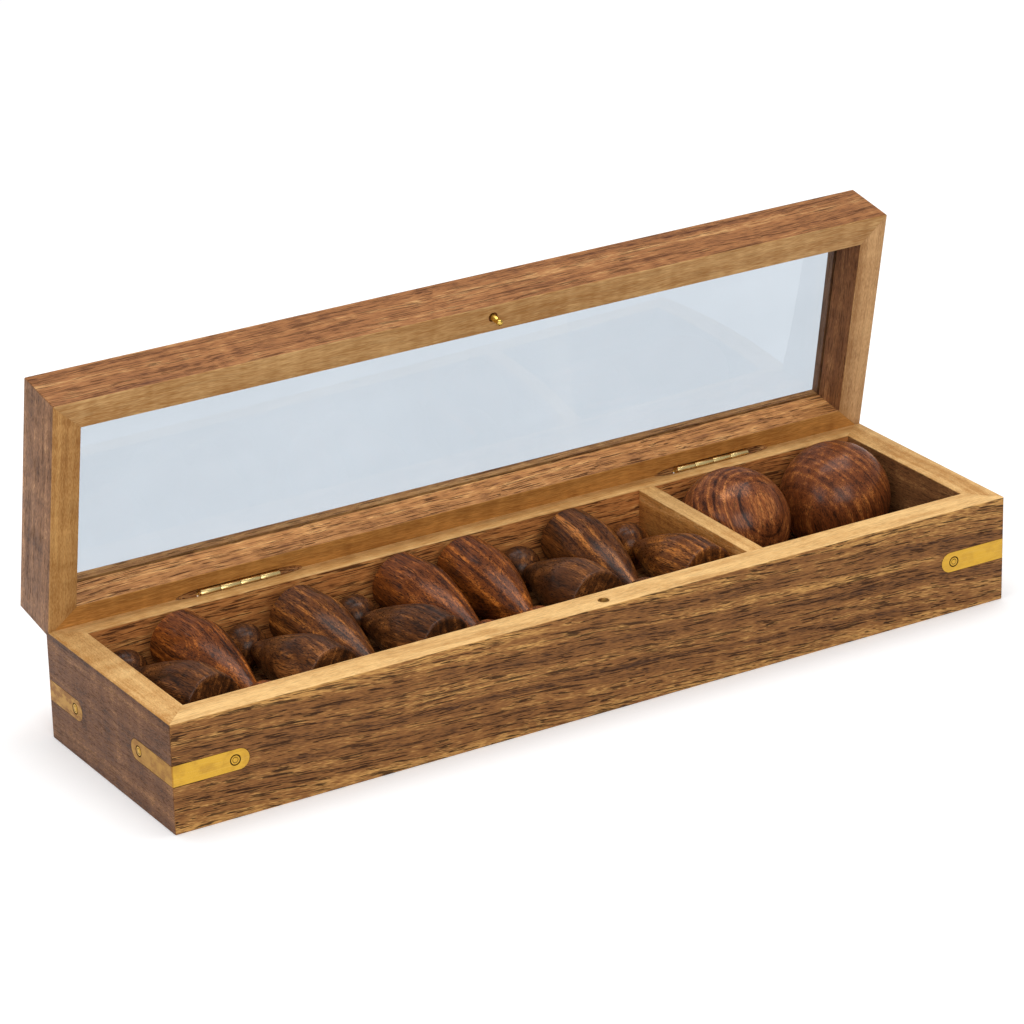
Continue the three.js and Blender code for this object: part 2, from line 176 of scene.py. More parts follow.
def turned(name, profile, segments=64, smooth=30, ring=False):
    """A body of revolution about +Z from [radius, z] points; a ring's profile closes on itself."""
    verts, faces = [], []
    for r, z in profile:
        for k in range(segments):
            a = 2 * math.pi * k / segments
            verts.append((r * math.cos(a), r * math.sin(a), z))
    rows = len(profile)
    for row in range(rows if ring else rows - 1):
        below, above = row * segments, (row + 1) % rows * segments
        for k in range(segments):
            n = (k + 1) % segments
            faces.append([below + k, below + n, above + n, above + k])
    return object_from(name, verts, faces, smooth)


def block(name, low, high, ease=0.0):
    """A box between two corners, with its edges eased."""
    bm = bmesh.new()
    bmesh.ops.create_cube(bm, size=1)
    size, middle = Vector(high) - Vector(low), (Vector(high) + Vector(low)) / 2
    for v in bm.verts:
        v.co = Vector((v.co.x * size.x, v.co.y * size.y, v.co.z * size.z)) + middle
    if ease:
        bmesh.ops.bevel(bm, geom=list(bm.edges), offset=ease, segments=3, profile=0.5, affect="EDGES")
    verts = [tuple(v.co) for v in bm.verts]
    faces = [[v.index for v in f.verts] for f in bm.faces]
    bm.free()
    return object_from(name, verts, faces)


def transformed(obj, matrix):
    """Moves the mesh itself; the matrix works in millimetres."""
    obj.data.transform(in_metres(matrix))
    return obj


def in_metres(matrix):
    """The same placing, with its millimetres as metres."""
    m = matrix.copy()
    m.translation *= MM
    return m


def shifted(obj, x, y, z):
    return transformed(obj, Matrix.Translation((x, y, z)))


ALONG_X = Matrix.Rotation(math.radians(90), 4, "Y")
INTO_BACK = Matrix.Rotation(math.radians(90), 4, "X")


def combined(obj, tools, smooth=30):
    """Cuts the tools out with booleans, and keeps only the resulting mesh."""
    for tool in tools:
        step = obj.modifiers.new("step", "BOOLEAN")
        step.operation, step.solver, step.object = "DIFFERENCE", "MANIFOLD", tool
    bpy.context.view_layer.update()
    mesh = bpy.data.meshes.new_from_object(obj.evaluated_get(bpy.context.evaluated_depsgraph_get()))
    obj.modifiers.clear()
    old, obj.data = obj.data, mesh
    mesh.name = obj.name
    bpy.data.meshes.remove(old)
    return shaded(obj, smooth)


def discard(*objects):
    for obj in objects:
        bpy.data.objects.remove(obj)


def eased(obj, width, angle=50):
    """Rounds the sharp edges a little, so that they catch the light."""
    step = obj.modifiers.new("ease", "BEVEL")
    step.width, step.segments, step.limit_method = width * MM, 2, "ANGLE"
    step.angle_limit, step.harden_normals = math.radians(angle), False
    step.use_clamp_overlap = True
    return shaded(obj)


def arc(centre, radius, start, end, steps):
    """Points round a centre, by degrees."""
    angles = [math.radians(start + (end - start) * i / steps) for i in range(steps + 1)]
    return [(centre[0] + radius * math.cos(a), centre[1] + radius * math.sin(a)) for a in angles]


# ---- materials ----------------------------------------------------------------------------------
def linear(r, g, b):
    """An 8-bit sRGB colour as linear values."""
    def one(c):
        c /= 255
        return c / 12.92 if c <= 0.04045 else ((c + 0.055) / 1.055) ** 2.4
    return (one(r), one(g), one(b), 1.0)


class Graph:
    """Short calls that add nodes to one material."""

    def __init__(self, name):
        self.material = bpy.data.materials.new(name)
        self.material.use_nodes = True
        self.tree = self.material.node_tree
        self.tree.nodes.clear()
        self.shader = self.node("ShaderNodeBsdfPrincipled")
        out = self.node("ShaderNodeOutputMaterial")
        self.tree.links.new(self.shader.outputs[0], out.inputs["Surface"])

    def node(self, kind, inputs=None, **settings):
        made = self.tree.nodes.new(kind)
        for key, value in settings.items():
            setattr(made, key, value)
        for key, value in (inputs or {}).items():
            socket = made.inputs[key]
            if isinstance(value, bpy.types.NodeSocket):
                self.tree.links.new(value, socket)
            else:
                socket.default_value = value
        return made

    def math(self, operation, a, b=0.0, clamp=False):
        return self.node("ShaderNodeMath", {0: a, 1: b}, operation=operation, use_clamp=clamp).outputs[0]

    def vector(self, operation, a, b=(0, 0, 0)):
        return self.node("ShaderNodeVectorMath", {0: a, 1: b}, operation=operation).outputs[0]

    def noise(self, at, scale=1.0, detail=2.0, roughness=0.5, distortion=0.0):
        return self.node("ShaderNodeTexNoise", {
            "Vector": at, "Scale": scale, "Detail": detail, "Roughness": roughness,
            "Distortion": distortion,
        }).outputs[0]

    def bands(self, at, scale=1.0, detail=2.0, roughness=0.5):
        return self.node("ShaderNodeTexNoise", {
            "W": at, "Scale": scale, "Detail": detail, "Roughness": roughness,
        }, noise_dimensions="1D").outputs[0]

    def step(self, value, low, high, to_low=0.0, to_high=1.0):
        return self.node("ShaderNodeMapRange", {
            "Value": value, "From Min": low, "From Max": high, "To Min": to_low, "To Max": to_high,
        }, interpolation_type="SMOOTHSTEP").outputs[0]

    def mix(self, amount, a, b):
        made = self.node("ShaderNodeMix", data_type="RGBA", blend_type="MIX")
        for socket, value in ((made.inputs[0], amount), (made.inputs[6], a), (made.inputs[7], b)):
            if isinstance(value, bpy.types.NodeSocket):
                self.tree.links.new(value, socket)
            else:
                socket.default_value = value
        return made.outputs[2]

    def bump(self, height, strength, distance):
        return self.node("ShaderNodeBump", {
            "Height": height, "Strength": strength, "Distance": distance * MM,
        }).outputs[0]

    def set(self, **sockets):
        for key, value in sockets.items():
            socket = self.shader.inputs[key.replace("_", " ")]
            if isinstance(value, bpy.types.NodeSocket):
                self.tree.links.new(value, socket)
            else:
                socket.default_value = value
        return self.material


def wood(name, tones, grain="X", seed=0, pith=(0, -90), pores=1.0, figure=0.5, rim=None,
         rough=0.5, dash=8.0, scale=1.0, broad=1.0, waxed=0.0, shine=0.15, sapwood=(), tilt=0.0,
         growth=0.2):
    """Open-grained wood. tones are its dark, middle and light colours; grain is the axis it runs
    along and tilt how far it strays from it; pith is where the heart of the tree lies across the
    grain, in millimetres; growth is about how many rings a millimetre holds and broad how strongly
    they show; pores and dash are the strength and length of the dark dashes; figure is the ripple
    across the grain; sapwood lists heights over which the wood turns paler, and by how much; rim
    is the colour of the faces where the case and the lid meet. It is partly sanded wood and partly painted
    light: these faces are painted paler for the light that falls on them."""
    g = Graph(name)
    draw = random.Random(seed)
    turn = {"X": (0, 0, 0), "Y": (0, 0, -math.pi / 2), "Z": (0, math.pi / 2, 0)}[grain]
    local = g.node("ShaderNodeTexCoord").outputs["Object"]
    at = g.node("ShaderNodeMapping", {
        "Vector": local, "Scale": (1000, 1000, 1000), "Rotation": (turn[0], turn[1] + tilt, turn[2]),
        "Location": [draw.uniform(-400, 400), draw.uniform(-8, 8), draw.uniform(-8, 8)],
    }).outputs[0]
    # The grain wanders gently along the board.
    wander = g.node("ShaderNodeTexNoise", {
        "Vector": g.vector("MULTIPLY", at, (0.013, 0.03, 0.03)), "Scale": 1.0, "Detail": 2.0,
        "Roughness": 0.5}).outputs["Color"]
    wander = g.vector("MULTIPLY", g.vector("SUBTRACT", wander, (0.5, 0.5, 0.5)), (0, 6, 6))
    at = g.vector("ADD", at, wander)
    across = g.vector("SUBTRACT", g.vector("MULTIPLY", at, (0, 1, 1)), (0, pith[0], pith[1]))
    radius = g.node("ShaderNodeVectorMath", {0: across}, operation="LENGTH").outputs["Value"]
    rings = g.bands(radius, growth, 3.0, 0.6)
    streaks = g.noise(g.vector("MULTIPLY", at, (0.012, 0.3, 0.3)), scale, 4.0, 0.62)
    fibres = g.noise(g.vector("MULTIPLY", at, (1 / dash, 2.3, 2.3)), scale, 2.0, 0.5)
    specks = g.noise(g.vector("MULTIPLY", at, (3.2 / dash, 3.4, 3.4)), scale, 1.0, 0.5)
    ripple = g.noise(g.vector("MULTIPLY", at, (0.17, 0.05, 0.05)), 1.0, 2.0, 0.5)

    def swing(value, amount):
        return g.math("MULTIPLY", g.math("SUBTRACT", value, 0.5), amount)

    tone = g.math("ADD", swing(rings, 0.5 * broad), swing(streaks, 0.6 * broad))
    tone = g.math("ADD", tone, swing(specks, 0.5))
    tone = g.math("ADD", tone, swing(fibres, 0.4))
    tone = g.math("ADD", g.math("ADD", tone, swing(ripple, 0.5 * figure)), 0.5)
    height = g.math("MULTIPLY", g.node("ShaderNodeSeparateXYZ", {0: local}).outputs[2], 1000)
    for start, end, amount in sapwood:
        drift = g.math("ADD", height, swing(streaks, 14))
        tone = g.math("ADD", tone, g.step(drift, start, end, 0.0, amount))
    colour = g.mix(g.step(tone, 0.2, 0.52), linear(*tones[0]), linear(*tones[1]))
    colour = g.mix(g.step(tone, 0.5, 0.8), colour, linear(*tones[2]))
    # Thin dark lines follow the growth and break into dashes; pores are short and darker.
    contour = g.math("ADD", g.noise(g.vector("MULTIPLY", at, (0.03, 0.7, 0.7)), scale, 2.0, 0.4, 0.2),
                     g.math("MULTIPLY", rings, 0.5))
    contour = g.math("PINGPONG", g.math("MULTIPLY", contour, 2.8), 0.5)
    line = g.math("MULTIPLY", g.step(contour, 0.33, 0.42), g.step(fibres, 0.45, 0.52))
    pore = g.step(fibres, 0.57, 0.62)
    dark = g.math("MAXIMUM", g.math("MULTIPLY", line, 0.8 * pores), g.math("MULTIPLY", pore, 0.9 * pores))
    pore_tone = tuple(c * k for c, k in zip(linear(*tones[0]), (0.42, 0.35, 0.28))) + (1.0,)
    if rim:
        # The rim: paler, partly as sanded wood and partly as painted light for the light these faces catch,
        # with shallow pores, fading over the eased edge.
        off = g.math("ABSOLUTE", g.math("SUBTRACT", height, OUTER["rim"]))
        rim_sanded_and_lit = g.step(off, 0.12, 0.5, 1.0, 0.0)
        low, high = (linear(*tone_) for tone_ in rim)
        pale = g.mix(g.step(tone, 0.2, 0.85), low, high)
        colour = g.mix(rim_sanded_and_lit, colour, pale)
        dark = g.math("MULTIPLY", dark, g.math("SUBTRACT", 1.0, g.math("MULTIPLY", rim_sanded_and_lit, 0.72)))
    colour = g.mix(dark, colour, pore_tone)
    gloss = g.math("ADD", g.math("MULTIPLY", fibres, 0.24), rough - 0.12)
    gloss = g.math("ADD", gloss, g.math("MULTIPLY", dark, 0.25), clamp=True)
    relief = g.math("SUBTRACT", g.math("MULTIPLY", specks, 0.4), dark)
    normal = g.bump(relief, 0.3 if waxed else 0.6, 0.1)
    return g.set(Base_Color=colour, Roughness=gloss, Normal=normal, Coat_Weight=waxed,
                 Coat_Roughness=0.2, Specular_IOR_Level=shine)


def brass(name, seed=0, tarnish=0.5, tone=(206, 160, 60), rough=0.3, brushed="X", rings=(), dull_ends=0.0):
    """Rolled brass with fine draw lines, faint tarnish clouds and dull spots. rings are the places
    and radii, in millimetres, between which the brass is painted dark: settled dirt, and painted
    shade in the crevices where parts meet: (centre, inner, outer)."""
    g = Graph(name)
    draw = random.Random(seed)
    local = g.node("ShaderNodeTexCoord").outputs["Object"]
    scaled = g.vector("MULTIPLY", local, (1000, 1000, 1000))
    at = g.vector("ADD", scaled, [draw.uniform(-50, 50) for _ in range(3)])
    lines = {"X": (0.12, 9, 9), "Y": (9, 0.12, 9), "Z": (9, 9, 0.12), "XY": (0.12, 0.12, 9)}[brushed]
    drawn = g.noise(g.vector("MULTIPLY", at, lines), 1.0, 2.0, 0.6)
    clouds = g.noise(g.vector("MULTIPLY", at, (0.2, 0.2, 0.35)), 1.0, 4.0, 0.6)
    spots = g.noise(at, 1.7, 2.0, 0.5)
    stain = g.math("MULTIPLY", g.step(clouds, 0.4, 0.66), tarnish)
    if dull_ends:
        # The short legs, on the ends of the case, are handled more and have dulled.
        away = g.math("ABSOLUTE", g.node("ShaderNodeSeparateXYZ", {0: scaled}).outputs[0])
        dulled = g.step(away, OUTER["x"] - 0.6, OUTER["x"] - 0.15, 0, dull_ends)
        stain = g.math("ADD", stain, dulled, clamp=True)
    colour = g.mix(stain, linear(*tone), linear(150, 104, 52))
    colour = g.mix(g.math("MULTIPLY", g.step(drawn, 0.5, 0.8), 0.18), colour, linear(250, 226, 150))
    colour = g.mix(g.math("MULTIPLY", g.step(spots, 0.6, 0.75), 0.4 * tarnish), colour, linear(80, 54, 28))
    shade_and_dirt = None
    # Dark rings: painted shade in the crevices round the rivets, with some settled dirt.
    for centre, inner, outer in rings:
        away = g.vector("SUBTRACT", scaled, tuple(centre))
        away = g.node("ShaderNodeVectorMath", {0: away}, operation="LENGTH").outputs["Value"]
        band = g.math("MULTIPLY", g.step(away, inner - 0.12, inner),
                      g.step(away, outer, outer + 0.14, 1, 0))
        shade_and_dirt = band if shade_and_dirt is None else g.math("MAXIMUM", shade_and_dirt, band)
    if shade_and_dirt is not None:
        colour = g.mix(g.math("MULTIPLY", shade_and_dirt, 0.85), colour, linear(46, 30, 18))
    roughness = g.math("ADD", g.math("MULTIPLY", drawn, 0.16), rough - 0.08)
    roughness = g.math("ADD", roughness, g.math("MULTIPLY", stain, 0.25))
    if shade_and_dirt is not None:
        roughness = g.math("ADD", roughness, g.math("MULTIPLY", shade_and_dirt, 0.4), clamp=True)
    normal = g.bump(g.math("ADD", g.math("MULTIPLY", drawn, 0.4), clouds), 0.18, 0.05)
    return g.set(Base_Color=colour, Metallic=1.0, Roughness=roughness, Normal=normal)


def clear_glass(name):
    """Thin float glass: clean, very slightly blue, with a trace of unevenness in its gloss."""
    g = Graph(name)
    local = g.node("ShaderNodeTexCoord").outputs["Object"]
    smears = g.noise(g.vector("MULTIPLY", local, (14, 30, 30)), 1.0, 3.0, 0.55)
    tint = g.mix(g.step(smears, 0.3, 0.7), linear(196, 205, 213), linear(200, 209, 217))
    return g.set(Base_Color=tint, Roughness=g.step(smears, 0.3, 0.8, 0.0, 0.012),
                 Transmission_Weight=1.0, IOR=1.45)


# ---- pieces -------------------------------------------------------------------------------------
def piece(obj, body, slot, material, *nodes):
    """Finishes an object: gives it its look, sets it on the body it rides on and hides the nodes it stands
    for.
    """
    obj.data.materials.clear()
    obj.data.materials.append(material)
    if body == "lid":
        obj.matrix_world = OPEN @ obj.matrix_world
    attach(obj, body)
    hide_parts(*nodes)
    return obj


# Each side of a mitred frame: the plan angle where it starts, and the way it runs.
SIDES = {
    "front": {"from": 225, "along": (1, 0)}, "right": {"from": 315, "along": (0, 1)},
    "back": {"from": 45, "along": (-1, 0)}, "left": {"from": 135, "along": (0, -1)},
}


def mitred_side(name, side, widths, profile):
    """One side of a frame: a profile swept between two mitre planes and round half of each corner.
    A profile point is (share of the side's width, further inset, height)."""
    def station(quarter, angle):
        loop = []
        for share, inset, z in profile:
            gaps = {s: share * w + inset for s, w in widths.items()}
            radius = max(CORNER - inset, 0) if share == 0 else 0
            sx = 1 if math.cos(math.radians(quarter)) > 0 else -1
            sy = 1 if math.sin(math.radians(quarter)) > 0 else -1
            x = sx * (OUTER["x"] - gaps["right" if sx > 0 else "left"] - radius)
            y = sy * (OUTER["y"] - gaps["back" if sy > 0 else "front"] - radius)
            a = math.radians(angle)
            loop.append((x + radius * math.cos(a), y + radius * math.sin(a), z))
        return loop

    start, (dx, dy) = SIDES[side]["from"], SIDES[side]["along"]
    loops = [station(start, start + 45 * i / 3) for i in range(4)]
    loops += [station(start + 90, start + 45 + 45 * i / 3) for i in range(4)]
    for loop, sign in ((loops[0], 1), (loops[-1], -1)):
        loop[:] = [(x + sign * dx * MITRE_GAP, y + sign * dy * MITRE_GAP, z) for x, y, z in loop]
    return lofted(name, loops)


def eased_corner(share, inset, z, di, dz, r=ROUND):
    """A rounded profile corner, from the upright face round to the level one."""
    out = []
    for i in range(EDGE_STEPS + 1):
        a = math.pi / 2 * i / EDGE_STEPS
        out.append((share, inset + di * r * (1 - math.cos(a)), z + dz * r * (1 - math.sin(a))))
    return out


rim, panel_top = OUTER["rim"], PANEL_HIGH.z + REBATE["play"]
CASE_PROFILE = (
    eased_corner(0, 0, 0, 1, 1)[::-1]
    + eased_corner(0, 0, rim, 1, -1)
    + eased_corner(1, 0, rim, -1, -1, 0.3)[::-1]
    + [(1, 0, panel_top), (1, -REBATE["deep"], panel_top), (1, -REBATE["deep"], 0)]
)
groove_low, groove_high = GLASS_LOW.z - GROOVE["play"], GLASS_HIGH.z + GROOVE["play"]
LID_PROFILE = (
    eased_corner(0, 0, rim, 1, 1)[::-1]
    + eased_corner(0, 0, LID_TOP, 1, -1)
    + eased_corner(1, 0, LID_TOP, -1, -1)[::-1]
    + [(1, 0, groove_high), (1, -GROOVE["deep"], groove_high),
       (1, -GROOVE["deep"], groove_low), (1, 0, groove_low)]
    + eased_corner(1, 0, rim, -1, 1, 0.3)
)


# ---- straps and rivets --------------------------------------------------------------------------
HALF_FOLD = CORNER * math.pi / 4


def strap_legs(corner):
    """The corner's signs, the height of its strap's middle and the reach of its two legs."""
    sy, sx = (-1 if "front" in corner else 1), (-1 if "left" in corner else 1)
    low, high = box_of(f"strap_{corner}")
    return sx, sy, (low.z + high.z) / 2, high.x - low.x, high.y - low.y


def on_corner(s, depth, w, legs):
    """A point of a strap laid round a corner: s runs along it from the fold, positive on the long
    face; depth goes into the wood and w is up the strap."""
    sx, sy, z, _, _ = legs
    past = abs(s) - HALF_FOLD
    if past >= -1e-9:
        far, near = max(CORNER + past, depth), depth
        x, y = (far, near) if s > 0 else (near, far)
    elif depth >= CORNER:
        x = y = depth
    else:
        a = math.radians(45 + 45 * s / HALF_FOLD)
        x = CORNER - (CORNER - depth) * math.cos(a)
        y = CORNER - (CORNER - depth) * math.sin(a)
    return sx * (OUTER["x"] - x), sy * (OUTER["y"] - y), z + w


def strap_body(name, legs, play=0.0, top=0.0, bottom=STRAP["thick"], holes=()):
    """A strip with round ends, cut flat, drilled, and then folded round the corner."""
    half = STRAP["half"]
    tips = [-(legs[4] - CORNER + HALF_FOLD), legs[3] - CORNER + HALF_FOLD]
    outline = arc((tips[1] - half, 0), half + play, -90, 90, 18)
    outline += arc((tips[0] + half, 0), half + play, 90, 270, 18)
    strip = lofted(name, [[(s, w, d) for s, w in outline] for d in (top, bottom)])
    if holes:
        combined(strip, holes)
        discard(*holes)
    bm = bmesh.new()
    bm.from_mesh(strip.data)
    for i in range(9):
        at = HALF_FOLD * (i / 4 - 1) * MM
        bmesh.ops.bisect_plane(bm, geom=bm.verts[:] + bm.edges[:] + bm.faces[:], dist=1e-7,
                               plane_co=(at, 0, 0), plane_no=(1, 0, 0))
    for v in bm.verts:
        s, w, d = v.co / MM
        v.co = Vector(on_corner(s, d, w, legs)) * MM
    bmesh.ops.remove_doubles(bm, verts=bm.verts, dist=2e-7)
    bmesh.ops.dissolve_degenerate(bm, edges=bm.edges, dist=1e-7)
    bmesh.ops.recalc_face_normals(bm, faces=bm.faces)
    bm.to_mesh(strip.data)
    bm.free()
    return shaded(strip, 35)


def countersink(name, head, shank, depth, length):
    """A tool that leaves a tapered seat and a straight bore, its mouth at z = 0."""
    return turned(name, [(0, -1), (head, -1), (head, 0), (shank, depth), (shank, length), (0, length)], 40)


def rivet_spots(legs):
    """Where each rivet's axis stands, and the turn that points +Z into the wood."""
    sx, sy, z, face, end = legs
    back = RIVET["from_tip"]
    return (
        ("face", Matrix.Translation((sx * (OUTER["x"] - face + back), sy * OUTER["y"], z))
         @ Matrix.Rotation(math.radians(-90 if sy < 0 else 90), 4, "X")),
        ("end", Matrix.Translation((sx * OUTER["x"], sy * (OUTER["y"] - end + back), z))
         @ Matrix.Rotation(math.radians(90 if sx < 0 else -90), 4, "Y")),
    )


CORNERS = ("front_left", "front_right", "back_left", "back_right")
TARNISH = (0.35, 0.2, 0.7, 0.5)
# The rivet heads are painted dark at their rim and in a thin ring at the step of the head: painted shade
# where they sit in the strap, with some dirt.
rivet_brass = brass("rivet_brass", 40, 0.4, rough=0.34,
                    rings=[((0, 0, 0), RIVET["radius"] - 0.1, 9), ((0, 0, 0), 0.92, 0.98)])
strap_tools = []
for number, corner in enumerate(CORNERS):
    legs = strap_legs(corner)
    strap_tools.append(strap_body("tool", legs, PLAY, -0.6, STRAP["thick"] + 0.03))
    holes = []
    for (which, spot), s in zip(rivet_spots(legs), (legs[3], -legs[4])):
        at = s - math.copysign(RIVET["from_tip"] + CORNER - HALF_FOLD, s)
        hole = countersink("tool", RIVET["hole"], RIVET["shank"] + 0.08, STRAP["thick"], 2)
        holes.append(shifted(hole, at, 0, 0))
        bore = countersink("tool", RIVET["hole"], RIVET["shank"] + 0.08, STRAP["thick"],
                           RIVET["length"] + 0.2)
        strap_tools.append(transformed(bore, spot))
        head = RIVET["radius"]
        rivet = turned(f"fine_rivet_{corner}_{which}", [
            (0, 0.0), (0.45, 0.004), (0.86, 0.02), (0.92, 0.07), (1.0, 0.07), (1.06, 0.02),
            (head - 0.14, 0.03), (head - 0.04, 0.09), (head, 0.2),
            (RIVET["shank"], STRAP["thick"] - 0.02), (RIVET["shank"], RIVET["length"] - 0.5),
            (RIVET["shank"] - 0.3, RIVET["length"]), (0, RIVET["length"])], 48, 40)
        rivet.matrix_world = in_metres(spot)
        piece(rivet, "case", "brass", rivet_brass, f"rivet_{corner}_{which}")
    strap = strap_body(f"fine_strap_{corner}", legs, holes=holes)
    eased(strap, STRAP["edge"], 55)
    # Each strap is painted dark in its countersinks round the rivets: painted shade in the gap, with some
    # dirt.
    piece(strap, "case", "brass",
          brass(f"strap_brass_{corner}", 11 + number, TARNISH[number], brushed="XY", dull_ends=0.55, rings=[
              (spot.translation, 0, RIVET["hole"]) for _, spot in rivet_spots(legs)]),
          f"strap_{corner}")


# ---- hinges -------------------------------------------------------------------------------------
def mortise_tool(x0, x1):
    """The round cutter's path for a hinge barrel: straight, then rising out at both ends."""
    r, run, play = MORTISE["radius"], MORTISE["run_out"], MORTISE["play"]
    fall = [(i / 8, math.sqrt(max(1 - (i / 8) ** 2, 0.02))) for i in range(9)]
    left = [(r * k, x0 - play - t * run) for t, k in fall][::-1]
    right = [(r * k, x1 + play + t * run) for t, k in fall]
    body = turned("tool", [(0, left[0][1]), *left, *right, (0, right[-1][1])], 40)
    return shifted(transformed(body, ALONG_X), 0, HINGE_Y, HINGE_Z)


def screw_places(x0, x1, side):
    middle = (x0 + x1) / 2
    return [(middle + k * SCREW["spread"], OUTER["y"] - LEAF["outer"], rim + side * SCREW["drop"])
            for k in (-1, 1)]


def screw_seat(place):
    seat = countersink("tool", SCREW["head"], SCREW["shank"] + 0.08, LEAF["thick"], SCREW["length"] + 0.2)
    return shifted(transformed(seat, INTO_BACK), *place)


def hinge_leaf(name, x0, x1, side, first):
    """A leaf let into the back, with every other knuckle rolled from it."""
    outer = OUTER["y"] - LEAF["outer"]
    inner = outer - LEAF["thick"]
    drop = abs(box_of(f"hinge_{name}_case_leaf")[0].z - rim)
    near, far = rim + side * (KNUCKLE["radius"] + LEAF["clear"]), rim + side * drop
    seats = [screw_seat(p) for p in screw_places(x0, x1, side)]
    plate = block(f"fine_hinge_{name}", (x0, inner, min(near, far)), (x1, outer, max(near, far)), 0.08)
    combined(plate, seats)
    discard(*seats)
    pitch, r, e, bore = (x1 - x0) / KNUCKLE["count"], KNUCKLE["radius"], KNUCKLE["edge"], KNUCKLE["bore"]
    parts = [plate]
    for i in range(first, KNUCKLE["count"], 2):
        a, b = x0 + i * pitch + KNUCKLE["gap"] / 2, x0 + (i + 1) * pitch - KNUCKLE["gap"] / 2
        barrel = turned("part", [
            (bore, a), (r - e, a), (r - 0.3 * e, a + 0.3 * e), (r, a + e), (r, b - e),
            (r - 0.3 * e, b - 0.3 * e), (r - e, b), (bore, b)], 48, ring=True)
        shifted(transformed(barrel, ALONG_X), 0, HINGE_Y, HINGE_Z)
        z = sorted((rim + side * 0.9, near + side * 0.3))
        web = block("part", (a + 0.02, inner + 0.05, z[0]), (b - 0.02, HINGE_Y + r - 0.02, z[1]))
        parts += [barrel, web]
    return merged(parts)


def merged(parts):
    """One object that holds the meshes of all the parts."""
    bm = bmesh.new()
    for part in parts:
        bm.from_mesh(part.data)
    bm.to_mesh(parts[0].data)
    bm.free()
    discard(*parts[1:])
    return shaded(parts[0])


def slotted_screw(name, place, angle):
    head, shank, length = SCREW["head"], SCREW["shank"], SCREW["length"]
    body = turned(name, [
        (0, 0.03), (head - 0.2, 0.05), (head - 0.06, 0.1), (head - 0.02, 0.18), (shank, LEAF["thick"]),
        (shank, length - 1.6), (0, length)], 48, 40)
    slot = block("tool", (-2, -SCREW["slot"], -1), (2, SCREW["slot"], 0.42))
    transformed(slot, Matrix.Rotation(math.radians(angle), 4, "Z"))
    combined(body, [slot], smooth=40)
    discard(slot)
    return shifted(transformed(body, INTO_BACK), *place)


# A paler, brighter brass than the rest, for the barrels, leaves and pin: painted reflection standing in for
# the bright light the barrels catch from above.
lit_barrel_brass = brass("lit_barrel_brass", 71, 0.15, (255, 228, 158), 0.26)
screw_brass = brass("screw_brass", 73, 0.45, (214, 176, 96), 0.34)
hinge_tools, leaf_tools = [], {-1: [], 1: []}
for number, hand in enumerate(("left", "right")):
    low, high = box_of(f"hinge_{hand}_pin")
    x0, x1 = low.x - 0.05, high.x + 0.05
    hinge_tools.append(mortise_tool(x0, x1))
    for side, member, first in ((-1, "case", 0), (1, "lid", 1)):
        leaf = hinge_leaf(hand, x0, x1, side, first)
        leaf.name = f"fine_hinge_{hand}_{member}_leaf"
        piece(leaf, member, "brass", lit_barrel_brass, f"hinge_{hand}_{member}_leaf")
        outer = OUTER["y"] - LEAF["outer"] - LEAF["thick"]
        deep = abs(box_of(f"hinge_{hand}_case_leaf")[0].z - rim) + 0.1
        z = sorted((rim, rim + side * deep))
        leaf_tools[side].append(block(
            "tool", (x0 - PLAY, outer, z[0]), (x1 + PLAY, OUTER["y"] + 1, z[1])))
        places = screw_places(x0, x1, side)
        leaf_tools[side] += [screw_seat(p) for p in places]
        for place in places:
            spot = "inner" if abs(place[0]) < abs((x0 + x1) / 2) else "outer"
            screw = slotted_screw(f"fine_screw_{hand}_{member}_{spot}", place,
                                  random.Random(f"{hand}{member}{spot}").uniform(0, 180))
            piece(screw, member, "brass", screw_brass, f"screw_{hand}_{member}_{spot}")
    r = KNUCKLE["bore"] - 0.06
    pin = turned(f"fine_hinge_{hand}_pin", [
        (0, low.x), (r - 0.2, low.x), (r, low.x + 0.25),
        (r, high.x - 0.25), (r - 0.2, high.x), (0, high.x)], 40)
    shifted(transformed(pin, ALONG_X), 0, HINGE_Y, HINGE_Z)
    piece(pin, "case", "brass", lit_barrel_brass, f"hinge_{hand}_pin")


def bevel_tool(side):
    """The wedge planed off both back edges, so that the open lid leans on the case."""
    z = (-BEVEL_GAP, 8) if side < 0 else (-8, BEVEL_GAP)
    wedge = block("tool", (-OUTER["x"] - 1, 0, z[0]), (OUTER["x"] + 1, 8, z[1]))
    tilt = Matrix.Rotation(math.radians(side * LID_OPEN_DEG / 2), 4, "X")
    return transformed(wedge, Matrix.Translation((0, HINGE_Y, HINGE_Z)) @ tilt)


# ---- the catch ----------------------------------------------------------------------------------
socket_low, socket_high = box_of("catch_socket")
catch = (socket_low + socket_high) / 2
sleeve = (socket_high.x - socket_low.x) / 2
bore = sleeve - 0.45
socket = turned("fine_catch_socket", [
    (bore, socket_low.z), (sleeve, socket_low.z), (sleeve, socket_high.z - 0.15),
    (sleeve - 0.1, socket_high.z), (bore + 0.12, socket_high.z - 0.02), (bore, socket_high.z - 0.2)],
    56, 35, ring=True)
shifted(socket, catch.x, catch.y, 0)
piece(socket, "case", "brass", brass("socket_brass", 81, 0.9, (176, 140, 78), 0.4), "catch_socket")
socket_tool = shifted(turned("tool", [
    (0, socket_low.z), (sleeve + 0.05, socket_low.z), (sleeve + 0.05, rim - 0.25),
    (sleeve + 0.35, rim + 0.1), (sleeve + 0.35, rim + 1), (0, rim + 1)], 56), catch.x, catch.y, 0)

